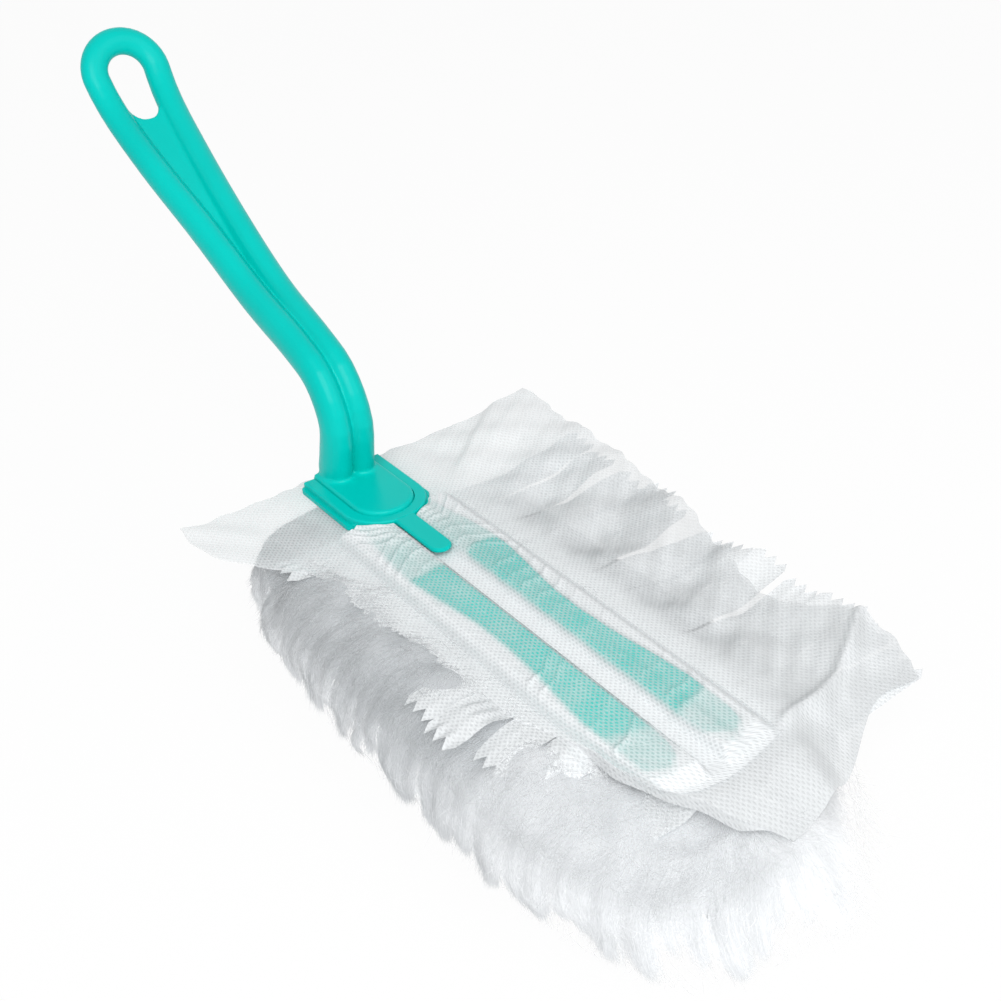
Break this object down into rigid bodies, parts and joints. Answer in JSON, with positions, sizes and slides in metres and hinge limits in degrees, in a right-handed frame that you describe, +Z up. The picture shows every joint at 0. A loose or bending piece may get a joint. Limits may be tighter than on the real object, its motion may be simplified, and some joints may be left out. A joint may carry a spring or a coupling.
{
  "type": "antistatic duster",
  "caption": "Hand duster: a looped handle slides into a two-pronged fork, whose prongs hold a throw-away refill of fibre tow under thin cloth.",
  "frame": {"origin": "middle of the flat under the fibre mass, half way along the pockets", "axes": "+X from the handle to the tip of the refill, +Z up, the plastic parts symmetric about y = 0"},
  "size_m": [0.4046, 0.158, 0.1797],
  "materials": {
    "teal_plastic": "smooth moulded polypropylene, soft gloss",
    "fork_plastic": "smooth moulded polypropylene, soft gloss",
    "holding_cloth": "thin white nonwoven with an embossed dot lattice",
    "base_cloth": "thin translucent white nonwoven with an embossed dot lattice",
    "strip_cloth": "thin white nonwoven with pinked strip ends",
    "fibre_1": "loose soft white fibre tow",
    "fibre_2": "loose soft white fibre tow",
    "fibre_3": "loose soft white fibre tow",
    "fibre_4": "loose soft white fibre tow"
  },
  "bodies": {
    "refill": {"holding_sheet": "holding_cloth", "base_sheet": "base_cloth", "strip_sheet": "strip_cloth", "fibre_layer_1": "fibre_1", "fibre_layer_2": "fibre_2", "fibre_layer_3": "fibre_3", "fibre_layer_4": "fibre_4"},
    "fork": {"fork": "fork_plastic"},
    "handle": {"handle": "teal_plastic"}
  },
  "joints": [
    {"name": "refill_slide", "type": "slide", "parent": "refill", "child": "fork", "axis": [-1, 0, 0], "range_m": [0, 0.18]},
    {"name": "handle_slide", "type": "slide", "parent": "fork", "child": "handle", "axis": [-1, 0, 0], "range_m": [0, 0.044]}
  ]
}
